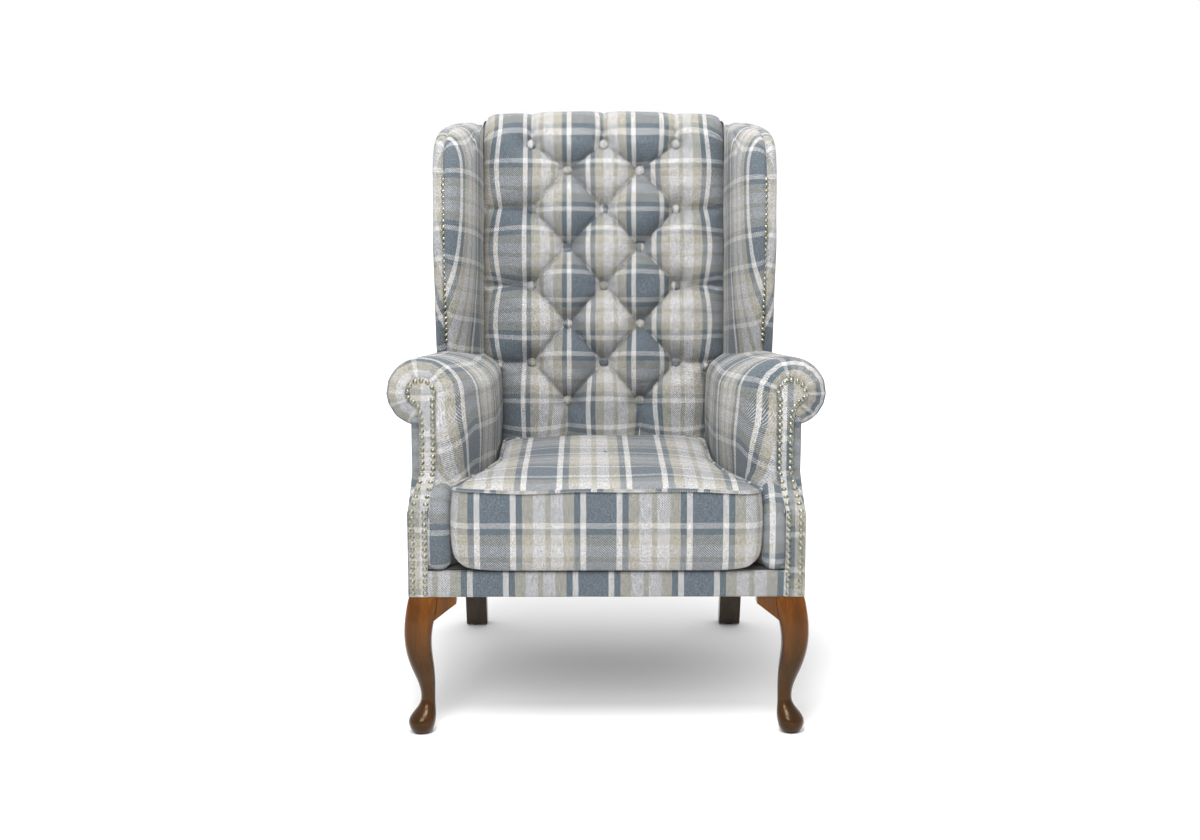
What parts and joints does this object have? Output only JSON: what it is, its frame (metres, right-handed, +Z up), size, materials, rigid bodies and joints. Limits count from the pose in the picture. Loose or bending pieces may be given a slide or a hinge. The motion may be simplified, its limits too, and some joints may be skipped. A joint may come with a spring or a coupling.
{
  "type": "wing fireside chair",
  "caption": "Buttoned high-back wing fireside chair with scroll arms, nail trim, cabriole front legs and a lift-out seat cushion.",
  "frame": {"origin": "on the floor, under the middle of the chair's overall box", "axes": "+X to the right as seen from the front, +Y towards the back, +Z up; the chair faces -Y"},
  "size_m": [0.798, 0.8025, 1.114],
  "materials": {
    "plaid_fabric": "woven wool-look check in slate blue, cream and khaki",
    "polished_mahogany": "polished dark red-brown",
    "dark_stained_beech": "dark stained, satin",
    "plain_beech": "bare sawn timber",
    "antique_nails": "antique nickel-brass, domed",
    "zinc_steel": "zinc plated",
    "nylon_glide": "moulded nylon",
    "elastic_webbing": "woven elastic webbing",
    "deck_felt": "grey felt",
    "lining_cloth": "black woven lining cloth",
    "zip_tape": "woven tape with nylon coil",
    "zip_metal": "nickel plated"
  },
  "bodies": {
    "chair": {"arm_facing_left": "plaid_fabric", "arm_facing_right": "plaid_fabric", "arm_front_bolster_left": "plaid_fabric", "arm_front_bolster_right": "plaid_fabric", "arm_front_post_left": "plain_beech", "arm_front_post_right": "plain_beech", "arm_nails_left": "antique_nails", "arm_nails_right": "antique_nails", "arm_outer_cover_left": "plaid_fabric", "arm_outer_cover_right": "plaid_fabric", "arm_pad_left": "plaid_fabric", "arm_pad_right": "plaid_fabric", "arm_tack_rail_left": "plain_beech", "arm_tack_rail_right": "plain_beech", "arm_top_rail_left": "plain_beech", "arm_top_rail_right": "plain_beech", "back_buttons": "plaid_fabric", "back_post_left": "dark_stained_beech", "back_post_right": "dark_stained_beech", "back_rail": "plain_beech", "back_tack_rail": "plain_beech", "back_top_rail": "plain_beech", "back_webbing": "elastic_webbing", "corner_block_screws": "zinc_steel", "corner_blocks": "plain_beech", "deck_felt": "deck_felt", "dust_cover": "lining_cloth", "foot_glides": "nylon_glide", "frame_dowels": "plain_beech", "front_border": "plaid_fabric", "front_leg_bolts": "zinc_steel", "front_leg_left": "polished_mahogany", "front_leg_nuts": "zinc_steel", "front_leg_right": "polished_mahogany", "front_rail": "plain_beech", "inside_back_pad": "plaid_fabric", "knee_ears_left": "polished_mahogany", "knee_ears_right": "polished_mahogany", "outside_back_cover": "plaid_fabric", "platform_cloth": "lining_cloth", "seat_springs": "zinc_steel", "side_rail_left": "plain_beech", "side_rail_right": "plain_beech", "spring_clips": "zinc_steel", "wing_nails_left": "antique_nails", "wing_nails_right": "antique_nails", "wing_outer_cover_left": "plaid_fabric", "wing_outer_cover_right": "plaid_fabric", "wing_pad_left": "plaid_fabric", "wing_pad_right": "plaid_fabric", "wing_post_left": "plain_beech", "wing_post_right": "plain_beech", "wing_top_rail_left": "plain_beech", "wing_top_rail_right": "plain_beech"},
    "cushion": {"seat_cushion": "plaid_fabric", "cushion_piping": "plaid_fabric", "cushion_zip": "zip_tape"},
    "slider": {"zip_slider": "zip_metal"}
  },
  "joints": [
    {"name": "cushion_lift", "type": "slide", "parent": "chair", "child": "cushion", "axis": [0, -0.5, 0.866], "range_m": [0, 0.6]},
    {"name": "zip_slide", "type": "slide", "parent": "cushion", "child": "slider", "axis": [1, 0, 0], "range_m": [0, 0.288]}
  ]
}
